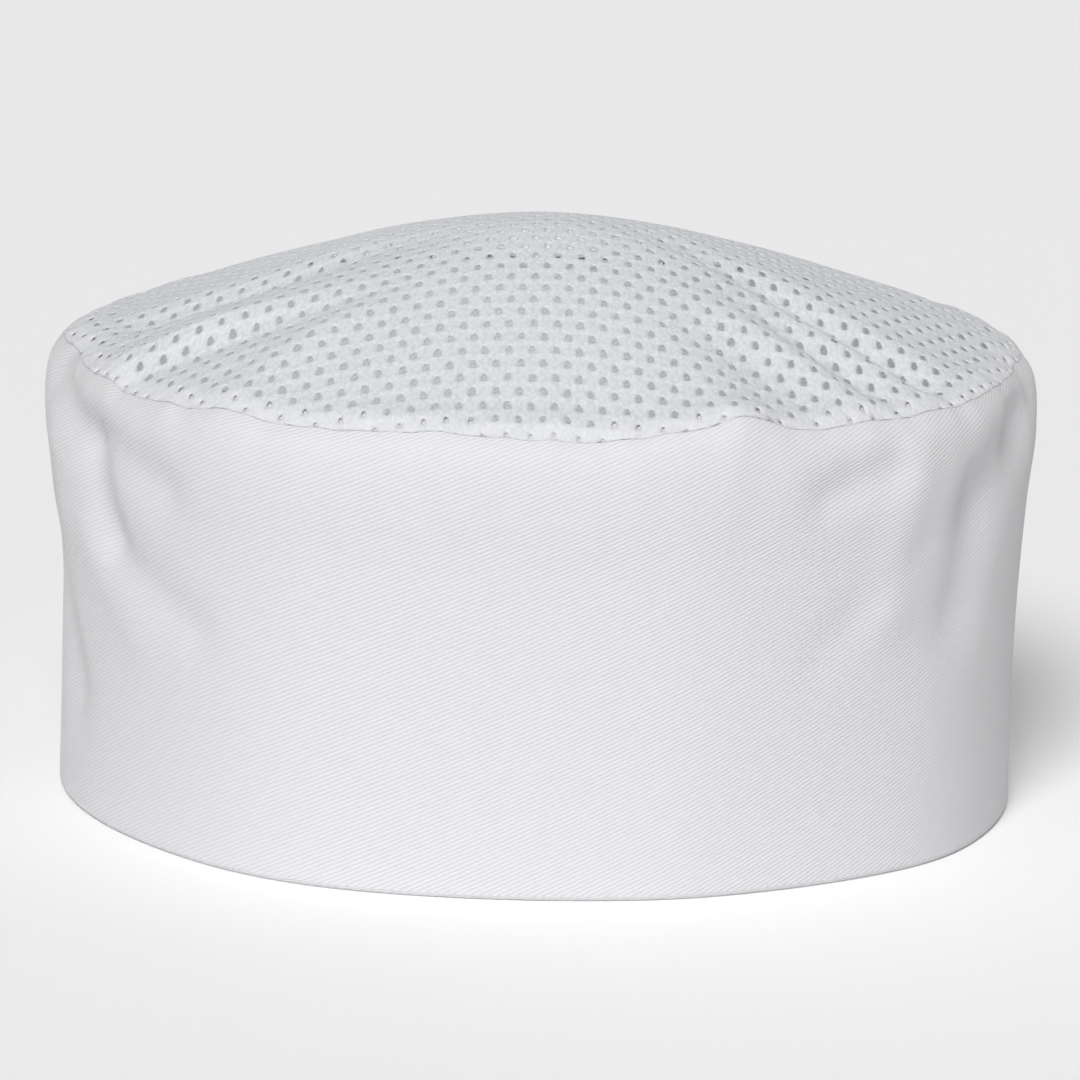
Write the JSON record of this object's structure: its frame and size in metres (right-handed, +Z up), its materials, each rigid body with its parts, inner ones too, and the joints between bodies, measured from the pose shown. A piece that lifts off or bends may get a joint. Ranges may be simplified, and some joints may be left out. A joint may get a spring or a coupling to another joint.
{
  "type": "chef skull cap",
  "caption": "Round kitchen skull cap: upright double twill band and a soft domed crown of holed knit, open below for the head.",
  "frame": {"origin": "middle of the open mouth, in the plane of the rim on which the cap stands", "axes": "+Z up to the crown, -Y to the front of the head, +X to the right in the front view"},
  "size_m": [0.1934, 0.1902, 0.1155],
  "materials": {
    "twill": "white cotton and polyester twill, washed matt, ribs rising to the right",
    "mesh_knit": "white polyester warp knit with small oval holes in staggered rows"
  },
  "bodies": {
    "root": {"band": "twill", "crown": "mesh_knit"}
  },
  "joints": []
}
